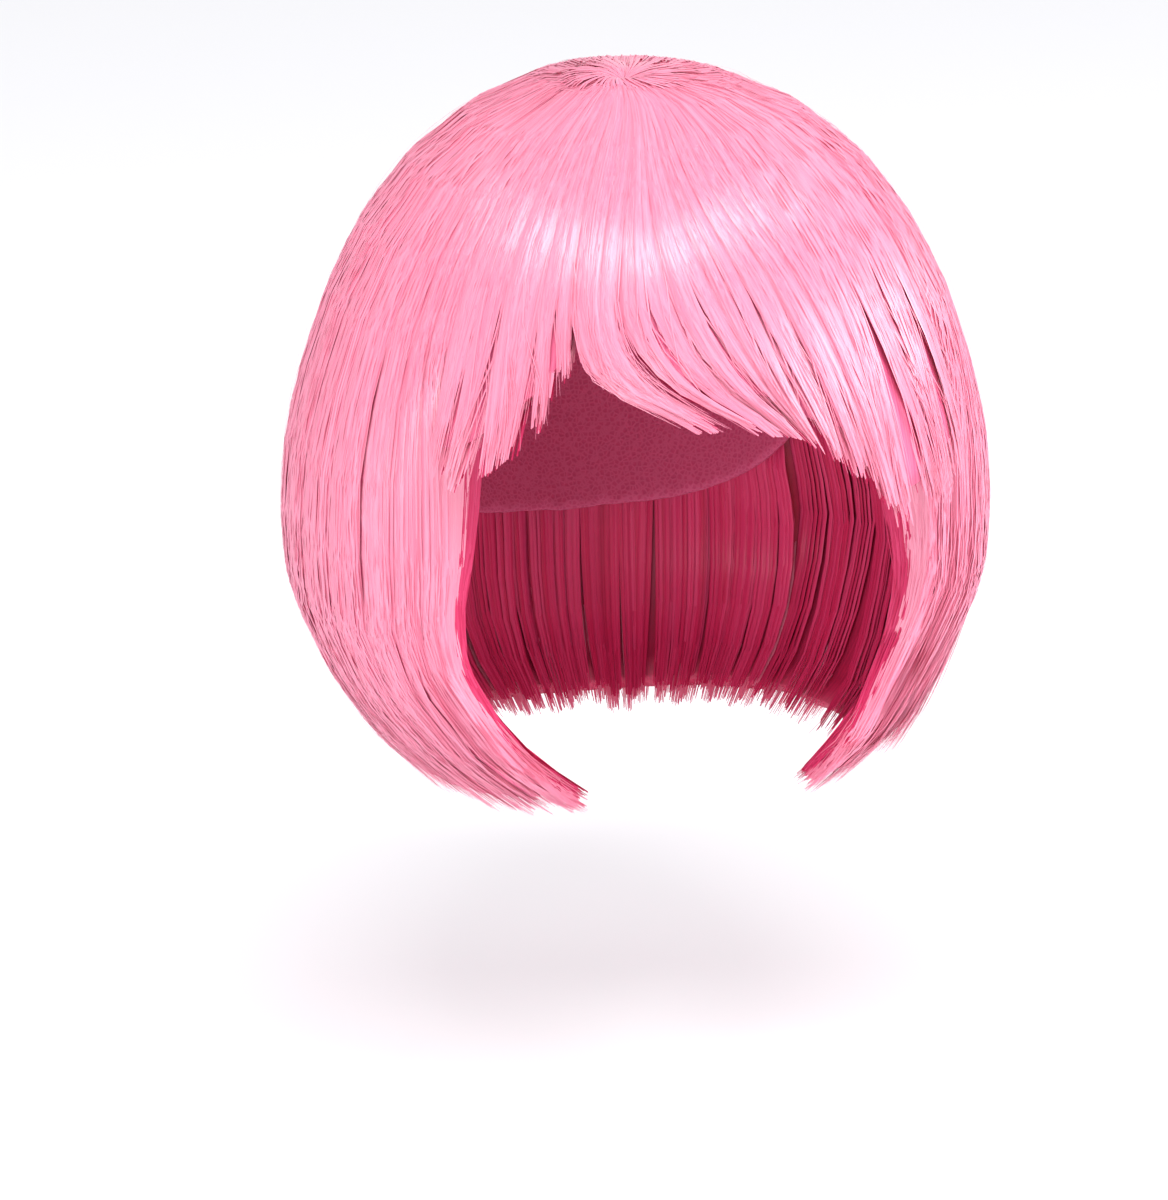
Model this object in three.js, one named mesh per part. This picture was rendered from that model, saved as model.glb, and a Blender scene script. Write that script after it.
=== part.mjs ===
// Bob wig of glossy synthetic fibre: a stretch cap that fits the head, and round it the hair in
// six combed sections that start at a pinched tuft, in a whorl on the crown. The fringe ends at the
// brows, with one lock swept across it. The side and back curtains end at the chin, curled under.
// Millimetres. +Z is up, the face looks along -Y, and the wearer's left is +X. The origin is the
// top of the cap's inside, where it sits on the head.
import * as THREE from "three";

// Driving dimensions: the head that the cap fits
const HEAD_HALF_BREADTH = 75;
const HEAD_FRONT = 92; // origin to forehead
const HEAD_BACK = 94; // origin to the back of the head
const HEAD_WIDEST_DROP = 95; // crown to the level where the head is widest
const HEAD_LOWER_DEPTH = 105; // how fast the head narrows below that level

// Driving dimensions: the cap
const CAP_WALL = 1.6;
const CAP_HEM_WALL = 2.6; // bound edge of the cap
const CAP_HEM_WIDTH = 7;
const HAIR_CLEARANCE = 1.4; // cap to the roots of the hair

// Driving dimensions: the hair
const HAIR_ABOVE_CAP = 17.5; // origin to the hair beside the whorl
const CROWN_RISE = 2.5; // the crown's top above the hair beside the whorl
const CROWN_BEHIND_WHORL = 28;
const CROWN_RISE_ENDS = 112; // from the whorl
const HAIR_LENGTH = 241; // hair beside the whorl to the hem, straight down
const HAIR_HALF_WIDTH = 118;
const HAIR_MIDDLE_X = 1.5; // the hair is combed over a little to the wearer's left
const HAIR_FRONT = 110; // origin to the front of the fringe
const HAIR_BACK = 123;
const WHORL_X = -8;
const WHORL_Y = -14;
const WHORL_RADIUS = 8;
const SECTION_GAP = 0.7; // parting between two sections
const SIDE_WALL = 34; // side curtain from outside to inside, at the ear
const SIDE_HEM_WALL = 8;
const BACK_WALL = 42;
const BACK_HEM_WALL = 11;
const FRINGE_WALL = 13;
const FRINGE_HEM_WALL = 5;
const FRONT_TUCK = 12; // how far the curtains' front edges turn in towards the cheeks
const RIDGE_HEIGHT = 3.2; // a lock's crest above the valley beside it
const CURTAIN_NOTCH = 9; // a valley's end above the tip of its lock
const FRINGE_NOTCH = 7;

// Mesh fineness
const COLUMNS_PER_LOCK = 4;
const CURTAIN_ROWS = 16;
const FRINGE_ROWS = 10;
const CAP_COLUMNS = 48;
const CAP_ROWS = 9;
const TUFT_COLUMNS = 24;

const HAIR_COLOUR = 0xf98db4;
const CAP_COLOUR = 0xd9567f;

// The hair's outline from whorl to hem. Drops are shares of HAIR_LENGTH and reaches are shares of
// HAIR_HALF_WIDTH, HAIR_FRONT and HAIR_BACK. The whorl lies in a shallow dimple.
const OUTLINE = [
  { drop: 0.01, side: 0.0, front: 0.0, back: 0.0 },
  { drop: 0.0, side: 0.06, front: 0.06, back: 0.06 },
  { drop: 0.003, side: 0.13, front: 0.13, back: 0.14 },
  { drop: 0.014, side: 0.235, front: 0.235, back: 0.25 },
  { drop: 0.032, side: 0.335, front: 0.34, back: 0.355 },
  { drop: 0.058, side: 0.445, front: 0.46, back: 0.47 },
  { drop: 0.11, side: 0.595, front: 0.62, back: 0.62 },
  { drop: 0.19, side: 0.735, front: 0.775, back: 0.77 },
  { drop: 0.28, side: 0.84, front: 0.88, back: 0.87 },
  { drop: 0.38, side: 0.915, front: 0.96, back: 0.94 },
  { drop: 0.49, side: 0.975, front: 1.0, back: 0.985 },
  { drop: 0.61, side: 1.0, front: 1.0, back: 1.0 },
  { drop: 0.71, side: 0.985, front: 0.98, back: 0.985 },
  { drop: 0.8, side: 0.915, front: 0.91, back: 0.915 },
  { drop: 0.88, side: 0.82, front: 0.815, back: 0.82 },
  { drop: 0.945, side: 0.71, front: 0.71, back: 0.71 },
  { drop: 1.0, side: 0.585, front: 0.6, back: 0.59 },
];

// The cap's edge: azimuth in degrees from the front, and drop as a share of HEAD_WIDEST_DROP.
// It runs over the forehead, down in front of the ear, over the ear and down to the nape.
const CAP_EDGE = [
  { azimuth: 0, drop: 0.5 },
  { azimuth: 35, drop: 0.58 },
  { azimuth: 55, drop: 0.82 },
  { azimuth: 70, drop: 1.14 },
  { azimuth: 86, drop: 1.02 },
  { azimuth: 102, drop: 1.05 },
  { azimuth: 125, drop: 1.38 },
  { azimuth: 150, drop: 1.56 },
  { azimuth: 180, drop: 1.62 },
];

// Combed lines of the fringe, as azimuths in degrees at four shares of the line's own length and at
// its tip, with the tip's drop as a share of HAIR_LENGTH. Negative is the wearer's right.
const FRINGE_LEVELS = { crown: 0.42, brow: 0.65, low: 0.82, sweep: 0.93 };
const FRINGE_RIGHT = [
  { crown: -54, brow: -54, low: -54, sweep: -54, tip: -54, drop: 0.48 },
  { crown: -47, brow: -47, low: -47, sweep: -48, tip: -49, drop: 0.475 },
  { crown: -40, brow: -40.5, low: -40.5, sweep: -40.5, tip: -41, drop: 0.43 },
  { crown: -34, brow: -34.5, low: -34.5, sweep: -34, tip: -34, drop: 0.385 },
  { crown: -31, brow: -30.7, low: -30.3, sweep: -29.7, tip: -29, drop: 0.335 },
];
const FRINGE_CENTRE = [
  { crown: -31, brow: -30.7, low: -28, sweep: -21.5, tip: -8, drop: 0.37 },
  { crown: -19, brow: -21, low: -20.3, sweep: -14.5, tip: -4, drop: 0.378 },
];
const FRINGE_LEFT = [
  { crown: -19, brow: -20.5, low: -17.5, sweep: -8, tip: 4, drop: 0.372 },
  { crown: -12, brow: -7, low: -1, sweep: 5, tip: 11, drop: 0.4 },
  { crown: -2, brow: 6, low: 11, sweep: 14.5, tip: 17, drop: 0.44 },
  { crown: 8, brow: 17, low: 22, sweep: 24.5, tip: 26, drop: 0.475 },
  { crown: 26, brow: 30, low: 33, sweep: 35, tip: 37, drop: 0.56 },
  { crown: 54, brow: 54, low: 54, sweep: 54, tip: 54, drop: 0.5 },
];

// Combed lines of one side curtain, from its front edge backwards, and of the back. The tips of
// the sides are swept forwards, towards the chin. Tuck is a share of FRONT_TUCK.
const CURTAIN_LEVELS = { crown: 0.2, cheek: 0.68, jaw: 0.88 };
const SIDE = [
  { crown: 54, cheek: 54, jaw: 53, tip: 31, drop: 0.955, tuck: 1 },
  { crown: 66, cheek: 65, jaw: 62, tip: 47, drop: 0.975, tuck: 0.1 },
  { crown: 90, cheek: 90, jaw: 88, tip: 79, drop: 0.985, tuck: 0 },
  { crown: 125, cheek: 125, jaw: 125, tip: 125, drop: 0.985, tuck: 0 },
];
const BACK = [
  { crown: 125, cheek: 125, jaw: 125, tip: 125, drop: 0.985 },
  { crown: 180, cheek: 180, jaw: 180, tip: 180, drop: 1.0 },
  { crown: 235, cheek: 235, jaw: 235, tip: 235, drop: 0.985 },
];
// Drops at which the tuck starts, is full, starts to ease and has gone
const TUCK_DROPS = { starts: 0.3, full: 0.55, eases: 0.8, ends: 0.95 };

// Two neighbouring locks differ in fullness and length by a slow sine.
const LOCK_RHYTHM = 2.4; // radians from one lock to the next
const FULLNESS_RANGE = 0.2;
const LENGTH_RANGE = 0.3; // share of the notch
const MEAN_CREST = 0.6; // a ridge's mean height, as a share of its crest
const RIDGES_FULL_AT = 0.35; // share of the outline's length, from the whorl
const WHORL_SHIFT_ENDS = 0.15; // share of the outline's length, from the whorl
const TIP_TAPER = 0.25; // share of the wall taken off each side of a tip
const CAP_OVERHANG = 6; // the hair leaves the cap this far above the cap's edge
const LEAVES_CAP_OVER = 26;
const WALL_THINS_FROM = 0.5; // share of a line's length
const NECK_SHARE = 0.2; // the head narrows no further than this share of its widest
const DIMPLE_ROWS = 2; // rows of OUTLINE in which the hair rises out of the whorl
const PAST_HEM = 1.03; // a line's tip is looked for this far down the outline
const HALVINGS = 40; // steps of that search

// Turns a table's rows into a function that gives all its named columns at any place between them.
function tableCurve(places, rows, columns, Interpolant = THREE.CubicInterpolant) {
  const values = rows.flatMap((row) => columns.map((name) => row[name]));
  const curve = new Interpolant(places, values, columns.length);
  return (place) => {
    const found = curve.evaluate(place);
    return Object.fromEntries(columns.map((name, i) => [name, found[i]]));
  };
}

// Distance down the side outline to each of its rows, so that a share of it is a share of a
// strand's length.
const outlineLengths = OUTLINE.reduce((lengths, row, i) => {
  if (i === 0) return [0];
  const before = OUTLINE[i - 1];
  const step = Math.hypot(
    (row.drop - before.drop) * HAIR_LENGTH,
    (row.side - before.side) * HAIR_HALF_WIDTH,
  );
  return [...lengths, lengths[i - 1] + step];
}, []);
const OUTLINE_END = outlineLengths.at(-1);
const outlineAt = tableCurve(outlineLengths, OUTLINE, ["drop", "side", "front", "back"]);

// The distance down the outline at which it has dropped by a share of HAIR_LENGTH.
function distanceAtDrop(drop) {
  let near = outlineLengths[DIMPLE_ROWS];
  let far = OUTLINE_END * PAST_HEM;
  for (let i = 0; i < HALVINGS; i++) {
    const middle = (near + far) / 2;
    if (outlineAt(middle).drop < drop) near = middle;
    else far = middle;
  }
  return (near + far) / 2;
}

// A point on the smooth outer surface, with a height above it that the ridges add.
function outerPoint(azimuth, distance, ridge) {
  const row = outlineAt(distance);
  const angle = THREE.MathUtils.degToRad(azimuth);
  const across = Math.sin(angle);
  const ahead = Math.cos(angle);
  const depth = ahead > 0 ? row.front * HAIR_FRONT : row.back * HAIR_BACK;
  const width = row.side * HAIR_HALF_WIDTH;
  const reach = width * depth ? 1 / Math.hypot(across / width, ahead / depth) : 0;
  const { smoothstep } = THREE.MathUtils;
  const towardsWhorl = 1 - smoothstep(distance, 0, OUTLINE_END * WHORL_SHIFT_ENDS);
  const rising = smoothstep(distance, 0, CROWN_BEHIND_WHORL);
  const falling = 1 - smoothstep(distance, CROWN_BEHIND_WHORL, CROWN_RISE_ENDS);
  const rise = (CROWN_RISE * rising * falling * (1 - ahead)) / 2;
  const radius = reach + ridge;
  return new THREE.Vector3(
    THREE.MathUtils.lerp(HAIR_MIDDLE_X, WHORL_X, towardsWhorl) + radius * across,
    WHORL_Y * towardsWhorl - radius * ahead,
    HAIR_ABOVE_CAP + rise - row.drop * HAIR_LENGTH,
  );
}

// Where a line from the middle of the head towards a point leaves the head, grown by a margin.
function onHead(point, margin) {
  const widest = -HEAD_WIDEST_DROP;
  const below = Math.min(point.z - widest, 0);
  const narrowing = Math.sqrt(Math.max(1 - (below / HEAD_LOWER_DEPTH) ** 2, NECK_SHARE ** 2));
  const centre = new THREE.Vector3(0, 0, Math.min(point.z, widest));
  const way = point.clone().sub(centre);
  const halfDepth = point.y < 0 ? HEAD_FRONT : HEAD_BACK;
  const share = Math.hypot(
    way.x / (HEAD_HALF_BREADTH * narrowing + margin),
    way.y / (halfDepth * narrowing + margin),
    way.z / (HEAD_WIDEST_DROP + margin),
  );
  return centre.addScaledVector(way, 1 / share);
}

const capEdge = tableCurve(
  CAP_EDGE.map((row) => row.azimuth),
  CAP_EDGE,
  ["drop"],
);

function capEdgeHeight(x, y) {
  const azimuth = Math.abs(THREE.MathUtils.radToDeg(Math.atan2(x, -y)));
  return -capEdge(azimuth).drop * HEAD_WIDEST_DROP;
}

// The inner side of the hair: on the cap down to its edge, and below that a wall's thickness
// inside the outer surface.
function innerPoint(outer, wall) {
  const onCap = onHead(outer, CAP_WALL + HAIR_CLEARANCE);
  const inwards = onCap.clone().sub(outer).normalize();
  const free = outer.clone().addScaledVector(inwards, wall);
  const room = outer.distanceTo(onCap);
  if (room < wall) return onCap;
  const fall = capEdgeHeight(onCap.x, onCap.y) + CAP_OVERHANG - onCap.z;
  return onCap.lerp(free, THREE.MathUtils.smoothstep(fall, 0, LEAVES_CAP_OVER));
}

// A closed geometry from its points and faces, turned so that the faces point out.
function solidGeometry(points, faces) {
  const volume = faces.reduce(
    (sum, [a, b, c]) => sum + points[a].dot(points[b].clone().cross(points[c])),
    0,
  );
  const geometry = new THREE.BufferGeometry().setFromPoints(points);
  geometry.setIndex(volume > 0 ? faces.flat() : faces.flatMap(([a, b, c]) => [a, c, b]));
  geometry.computeVertexNormals();
  return geometry;
}

function quad(a, b, c, d) {
  return [
    [a, b, c],
    [a, c, d],
  ];
}

// A wall between a fine outer grid and an inner grid with half as many columns. Each grid is a
// list of columns of points, and all columns have the same number of rows.
function wallGeometry(outer, inner) {
  const rows = outer[0].length;
  const points = [...outer.flat(), ...inner.flat()];
  const out = (column, row) => column * rows + row;
  const inn = (column, row) => (outer.length + column) * rows + row;
  const faces = [];
  for (let i = 0; i + 1 < outer.length; i++)
    for (let j = 0; j + 1 < rows; j++)
      faces.push(...quad(out(i, j), out(i + 1, j), out(i + 1, j + 1), out(i, j + 1)));
  for (let i = 0; i + 1 < inner.length; i++)
    for (let j = 0; j + 1 < rows; j++)
      faces.push(...quad(inn(i, j), inn(i, j + 1), inn(i + 1, j + 1), inn(i + 1, j)));
  for (let i = 0; i + 1 < inner.length; i++) {
    for (const [row, turned] of [
      [0, false],
      [rows - 1, true],
    ]) {
      const strip = [
        [out(2 * i, row), inn(i, row), out(2 * i + 1, row)],
        [out(2 * i + 1, row), inn(i, row), inn(i + 1, row)],
        [out(2 * i + 1, row), inn(i + 1, row), out(2 * i + 2, row)],
      ];
      faces.push(...strip.map(([a, b, c]) => (turned ? [a, c, b] : [a, b, c])));
    }
  }
  const lastOut = outer.length - 1;
  const lastIn = inner.length - 1;
  for (let j = 0; j + 1 < rows; j++) {
    faces.push(...quad(out(0, j), out(0, j + 1), inn(0, j + 1), inn(0, j)));
    faces.push(...quad(out(lastOut, j), inn(lastIn, j), inn(lastIn, j + 1), out(lastOut, j + 1)));
  }
  return solidGeometry(points, faces);
}

// The inward turn of a curtain's front edge, in millimetres.
function tuckAt(share, distance) {
  const { smoothstep } = THREE.MathUtils;
  const at = Object.values(TUCK_DROPS).map(distanceAtDrop);
  const turned = smoothstep(distance, at[0], at[1]) * (1 - smoothstep(distance, at[2], at[3]));
  return share * FRONT_TUCK * turned;
}

// A share of the way down a combed line: its distance from the whorl, its azimuth, and the step
// aside that opens the parting at a section's first and last line.
function placeOnLine(azimuths, end, share, parting) {
  const distance = WHORL_RADIUS + (end - WHORL_RADIUS) * share;
  const azimuth = azimuths(distance).value;
  const angle = THREE.MathUtils.degToRad(azimuth);
  const aside = new THREE.Vector3(Math.cos(angle), Math.sin(angle), 0);
  return { distance, azimuth, aside: aside.multiplyScalar((parting * SECTION_GAP) / 2) };
}

// A combed section of hair between its first and last lines. Its outer side has one rounded ridge
// for each lock, and each lock ends in a point.
function sectionGeometry({ lines, levels, locks, rows, wall, hemWall, notch }) {
  const names = [...Object.keys(levels), "tip"];
  const lineAt = tableCurve(
    lines.map((_, i) => i / (lines.length - 1)),
    lines.map((line) => ({ tuck: 0, ...line })),
    [...names, "drop", "tuck"],
  );
  const columns = locks * COLUMNS_PER_LOCK;
  const outer = [];
  const inner = [];
  for (let i = 0; i <= columns; i++) {
    const line = lineAt(i / columns);
    const crest = Math.sin((Math.PI * (i % COLUMNS_PER_LOCK)) / COLUMNS_PER_LOCK);
    const differs = Math.sin(LOCK_RHYTHM * Math.floor(i / COLUMNS_PER_LOCK));
    const fullness = 1 + FULLNESS_RANGE * (differs - 1);
    const shorter = 1 - crest + LENGTH_RANGE * crest * (1 - differs);
    const tip = distanceAtDrop(line.drop);
    const azimuths = tableCurve(
      [0, ...Object.values(levels).map((level) => level * tip), tip],
      [{ value: line[names[0]] }, ...names.map((name) => ({ value: line[name] }))],
      ["value"],
      THREE.LinearInterpolant,
    );
    const parting = i === 0 ? 1 : i === columns ? -1 : 0;
    const outerColumn = [];
    const innerColumn = [];
    for (let j = 0; j <= rows; j++) {
      const share = j / rows;
      const taper = j === rows ? TIP_TAPER * hemWall : 0;
      const out = placeOnLine(azimuths, tip - notch * shorter, share, parting);
      const swell = Math.min(1, out.distance / (OUTLINE_END * RIDGES_FULL_AT)) * fullness;
      const tuck = tuckAt(line.tuck, out.distance);
      const ridge = RIDGE_HEIGHT * swell * (crest - MEAN_CREST) - tuck;
      outerColumn.push(outerPoint(out.azimuth, out.distance, ridge - taper).add(out.aside));
      const inn = placeOnLine(azimuths, tip - notch / 2, share, parting);
      const smooth = outerPoint(inn.azimuth, inn.distance, 0).add(inn.aside);
      const full = Math.min(1, (1 - share) / (1 - WALL_THINS_FROM));
      const thickness = hemWall + (wall - hemWall) * full;
      innerColumn.push(innerPoint(smooth, thickness - taper));
    }
    outer.push(outerColumn);
    if (i % 2 === 0) inner.push(innerColumn);
  }
  return wallGeometry(outer, inner);
}

// The stretch cap: a thin shell on the head with a bound edge.
function capGeometry() {
  const points = [new THREE.Vector3(0, 0, CAP_WALL), new THREE.Vector3(0, 0, 0)];
  const faces = [];
  const ring = (side, column, row) =>
    row === 0 ? side : 2 + (side * CAP_ROWS + row - 1) * CAP_COLUMNS + (column % CAP_COLUMNS);
  for (const side of [0, 1])
    for (let j = 1; j <= CAP_ROWS; j++)
      for (let i = 0; i < CAP_COLUMNS; i++) points.push(capPoint(i / CAP_COLUMNS, j, side === 0));
  for (let i = 0; i < CAP_COLUMNS; i++) {
    faces.push([0, ring(0, i, 1), ring(0, i + 1, 1)], [1, ring(1, i + 1, 1), ring(1, i, 1)]);
    for (let j = 1; j < CAP_ROWS; j++) {
      const outside = [ring(0, i, j), ring(0, i, j + 1), ring(0, i + 1, j + 1), ring(0, i + 1, j)];
      const inside = [ring(1, i, j), ring(1, i + 1, j), ring(1, i + 1, j + 1), ring(1, i, j + 1)];
      faces.push(...quad(...outside), ...quad(...inside));
    }
    faces.push(
      ...quad(
        ring(0, i, CAP_ROWS),
        ring(1, i, CAP_ROWS),
        ring(1, i + 1, CAP_ROWS),
        ring(0, i + 1, CAP_ROWS),
      ),
    );
  }
  return solidGeometry(points, faces);
}

// A point of the cap at a share of the way round and a row down. The rows are even angles seen
// from the middle of the head, and the last one is the bound edge, which is thicker inwards.
function capPoint(around, row, outside) {
  const azimuth = 2 * Math.PI * around;
  const direction = new THREE.Vector3(Math.sin(azimuth), -Math.cos(azimuth), 0);
  const edge = capEdgeHeight(direction.x, direction.y);
  const hemStart = CAP_ROWS - 1;
  const share = row <= hemStart ? row / hemStart : 1;
  const drop = -(edge + CAP_HEM_WIDTH) * (1 - Math.cos((share * Math.PI) / 2));
  const height = row <= hemStart ? -drop : edge;
  const lean = Math.sqrt(Math.max(1 - (1 + height / HEAD_WIDEST_DROP) ** 2, 0));
  const below = height < -HEAD_WIDEST_DROP;
  const narrowed = Math.sqrt(1 - ((height + HEAD_WIDEST_DROP) / HEAD_LOWER_DEPTH) ** 2);
  const depth = direction.y < 0 ? HEAD_FRONT : HEAD_BACK;
  const toSkin = 1 / Math.hypot(direction.x / HEAD_HALF_BREADTH, direction.y / depth);
  const onSkin = direction.clone().multiplyScalar(toSkin * (below ? narrowed : lean));
  onSkin.z = height;
  if (outside) return onHead(onSkin, CAP_WALL);
  return row >= hemStart ? onHead(onSkin, CAP_WALL - CAP_HEM_WALL) : onSkin;
}

// The pinched tuft that fills the whorl. It stands on the cap and has a radial ridge for each
// second column. Each level has its height, as a share of the hair's, and its share of the radius.
const TUFT_LEVELS = [
  { height: 0, radius: 1 },
  { height: 0.8, radius: 1 },
  { height: 0.97, radius: 0.6 },
];
const TUFT_TOP = 0.9;
const TUFT_GROOVE = 0.82; // share of the radius at a groove
function tuftGeometry() {
  const rim = WHORL_RADIUS - SECTION_GAP;
  const tuftPoint = (column, radius, height) => {
    const top = outerPoint((360 * column) / TUFT_COLUMNS, rim * radius, 0);
    return onHead(top, CAP_WALL + HAIR_CLEARANCE).lerp(top, height);
  };
  const points = TUFT_LEVELS.flatMap((level) =>
    Array.from({ length: TUFT_COLUMNS }, (_, i) =>
      tuftPoint(i, level.radius * (i % 2 ? 1 : TUFT_GROOVE), level.height),
    ),
  );
  const foot = points.push(tuftPoint(0, 0, 0)) - 1;
  const top = points.push(tuftPoint(0, 0, TUFT_TOP)) - 1;
  const faces = [];
  for (let i = 0; i < TUFT_COLUMNS; i++) {
    const next = (i + 1) % TUFT_COLUMNS;
    faces.push([foot, next, i]);
    for (let level = 0; level + 1 < TUFT_LEVELS.length; level++) {
      const from = level * TUFT_COLUMNS;
      const to = from + TUFT_COLUMNS;
      faces.push(...quad(from + i, from + next, to + next, to + i));
    }
    const last = (TUFT_LEVELS.length - 1) * TUFT_COLUMNS;
    faces.push([last + i, last + next, top]);
  }
  return solidGeometry(points, faces);
}

function mirrored(lines) {
  const turned = lines.map((line) => ({
    ...line,
    crown: -line.crown,
    cheek: -line.cheek,
    jaw: -line.jaw,
    tip: -line.tip,
  }));
  return turned.reverse();
}

const fringe = {
  levels: FRINGE_LEVELS,
  rows: FRINGE_ROWS,
  wall: FRINGE_WALL,
  hemWall: FRINGE_HEM_WALL,
  notch: FRINGE_NOTCH,
};
const curtain = { levels: CURTAIN_LEVELS, rows: CURTAIN_ROWS, notch: CURTAIN_NOTCH };
const side = { ...curtain, locks: 8, wall: SIDE_WALL, hemWall: SIDE_HEM_WALL };
const back = { ...curtain, locks: 13, wall: BACK_WALL, hemWall: BACK_HEM_WALL };
const SECTIONS = [
  { name: "fringe_right", lines: FRINGE_RIGHT, locks: 3, ...fringe },
  { name: "fringe_centre_lock", lines: FRINGE_CENTRE, locks: 1, ...fringe },
  { name: "fringe_left", lines: FRINGE_LEFT, locks: 8, ...fringe },
  { name: "side_curtain_left", lines: SIDE, ...side },
  { name: "back_curtain", lines: BACK, ...back },
  { name: "side_curtain_right", lines: mirrored(SIDE), ...side },
];

function piece(name, geometry, material) {
  const mesh = new THREE.Mesh(geometry, material);
  mesh.name = name;
  return mesh;
}

const fibre = new THREE.MeshStandardMaterial({ color: HAIR_COLOUR, roughness: 0.38, metalness: 0 });
const net = new THREE.MeshStandardMaterial({ color: CAP_COLOUR, roughness: 0.85, metalness: 0 });

const wig = new THREE.Group();
wig.add(piece("cap", capGeometry(), net));
wig.add(piece("whorl_tuft", tuftGeometry(), fibre));
for (const section of SECTIONS)
  wig.add(piece(section.name, sectionGeometry(section), fibre));

export default wig;
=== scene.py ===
"""Bob wig of glossy pink fibre, drawn as it is worn: a stretch cap, and on it the hair in combed
sections that start at a whorl and end at the brows in front and at the chin at the sides."""

import math

import bmesh
import bpy
import numpy as np
from mathutils.bvhtree import BVHTree
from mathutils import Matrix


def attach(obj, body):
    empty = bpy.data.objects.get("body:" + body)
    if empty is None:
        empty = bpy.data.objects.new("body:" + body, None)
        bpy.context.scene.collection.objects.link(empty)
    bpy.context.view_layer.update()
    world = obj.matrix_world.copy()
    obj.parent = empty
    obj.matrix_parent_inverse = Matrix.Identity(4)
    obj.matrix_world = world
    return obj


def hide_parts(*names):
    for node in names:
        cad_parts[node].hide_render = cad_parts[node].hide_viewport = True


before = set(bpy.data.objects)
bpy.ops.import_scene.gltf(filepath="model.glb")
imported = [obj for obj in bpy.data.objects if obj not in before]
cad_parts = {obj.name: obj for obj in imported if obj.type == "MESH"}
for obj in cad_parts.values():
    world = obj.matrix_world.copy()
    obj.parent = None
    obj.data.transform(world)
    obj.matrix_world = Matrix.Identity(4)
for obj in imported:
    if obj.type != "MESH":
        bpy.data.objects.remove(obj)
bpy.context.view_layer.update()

# Camera. It stands in front of the wig and a little to the wearer's right, looks down at it and
# frames it as the photograph does. It keeps clear of the floor.
CAMERA_AZIMUTH = -17.0  # degrees from the front
CAMERA_DISTANCE = 1.924  # level, from the wig's upright axis
CAMERA_HEIGHT = 0.406  # above the crown of the head
CAMERA_PITCH = -16.5
CAMERA_TURN = 0.488  # how far it looks to the left of the wig's axis
CAMERA_LENS = 179.7

camera = bpy.data.objects.new("camera", bpy.data.cameras.new("camera"))
bpy.context.scene.collection.objects.link(camera)
bpy.context.scene.camera = camera
camera.data.lens = CAMERA_LENS
camera.data.clip_end = 50.0
camera.location = (
    CAMERA_DISTANCE * math.sin(math.radians(CAMERA_AZIMUTH)),
    -CAMERA_DISTANCE * math.cos(math.radians(CAMERA_AZIMUTH)),
    CAMERA_HEIGHT,
)
camera.rotation_euler = (
    math.radians(90 + CAMERA_PITCH),
    0.0,
    math.radians(CAMERA_AZIMUTH + CAMERA_TURN),
)


# Stretch cap. The foundation that grips the head: a warp-knitted nylon net, dyed to the hair, with
# its edge turned in and bound. The hair is machine-sewn to it in rows.
# The hole colour is painted shade, and the lighter thread colour is painted light.
NET_HOLE_SHADE_HEX = "#BC3F6A"
NET_THREAD_LIT_HEX = "#C75179"
NET_MESH = 0.0016  # the real 1 mm would be too fine to show


def linear(hex_colour):
    """The linear RGBA of an sRGB hex colour."""
    channels = [int(hex_colour[i : i + 2], 16) / 255 for i in (1, 3, 5)]
    return [c / 12.92 if c <= 0.04045 else ((c + 0.055) / 1.055) ** 2.4 for c in channels] + [1.0]


def add_node(material, kind, settings=None, **inputs):
    """Adds a node. Each input is named, or numbered as in _0, and takes a value or a socket."""
    node = material.node_tree.nodes.new(kind)
    for name, value in (settings or {}).items():
        setattr(node, name, value)
    for name, value in inputs.items():
        place = int(name[1:]) if name[0] == "_" else name.replace("_", " ")
        if isinstance(value, bpy.types.NodeSocket):
            material.node_tree.links.new(value, node.inputs[place])
        else:
            node.inputs[place].default_value = value
    return node


def set_stops(ramp_node, stops):
    """Gives a colour ramp its stops, as places and hex colours."""
    elements = ramp_node.color_ramp.elements
    while len(elements) < len(stops):
        elements.new(0.5)
    for element, (place, colour) in zip(elements, stops):
        element.position = place
        element.color = linear(colour)


def warp_knitted_net():
    """Warp-knitted nylon is matt, with small meshes of thread round holes. The threads are painted
    lighter as painted light, and the holes darker as painted shade.
    """
    material = bpy.data.materials.new("warp_knitted_net")
    material.use_nodes = True
    shader = material.node_tree.nodes["Principled BSDF"]
    shader.inputs["Roughness"].default_value = 0.8
    place = add_node(material, "ShaderNodeTexCoord").outputs["Object"]
    meshes = add_node(
        material,
        "ShaderNodeTexVoronoi",
        {"feature": "DISTANCE_TO_EDGE"},
        Vector=place,
        Scale=1 / NET_MESH,
        Randomness=0.8,
    )
    colours = add_node(material, "ShaderNodeValToRGB", Fac=meshes.outputs["Distance"])
    # Painted light on the threads, painted shade in the holes.
    set_stops(colours, [(0.08, NET_THREAD_LIT_HEX), (0.22, NET_HOLE_SHADE_HEX)])
    threads = add_node(
        material,
        "ShaderNodeBump",
        {"invert": True},
        Height=meshes.outputs["Distance"],
        Strength=0.6,
        Distance=0.0004,
    )
    material.node_tree.links.new(colours.outputs["Color"], shader.inputs["Base Color"])
    material.node_tree.links.new(threads.outputs["Normal"], shader.inputs["Normal"])
    return material


def merged_copy(node):
    """A bmesh of a CAD node with its loose triangles joined."""
    work = bmesh.new()
    work.from_mesh(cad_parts[node].data)
    bmesh.ops.remove_doubles(work, verts=work.verts, dist=1e-6)
    work.normal_update()
    return work


def new_piece(name, mesh, material):
    mesh.materials.clear()
    mesh.materials.append(material)
    piece = bpy.data.objects.new(name, mesh)
    bpy.context.scene.collection.objects.link(piece)
    return piece


def smooth_piece(name, work, material):
    """A smooth-shaded piece from a bmesh."""
    for face in work.faces:
        face.smooth = True
    mesh = bpy.data.meshes.new(name)
    work.to_mesh(mesh)
    work.free()
    return new_piece(name, mesh, material)


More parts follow.
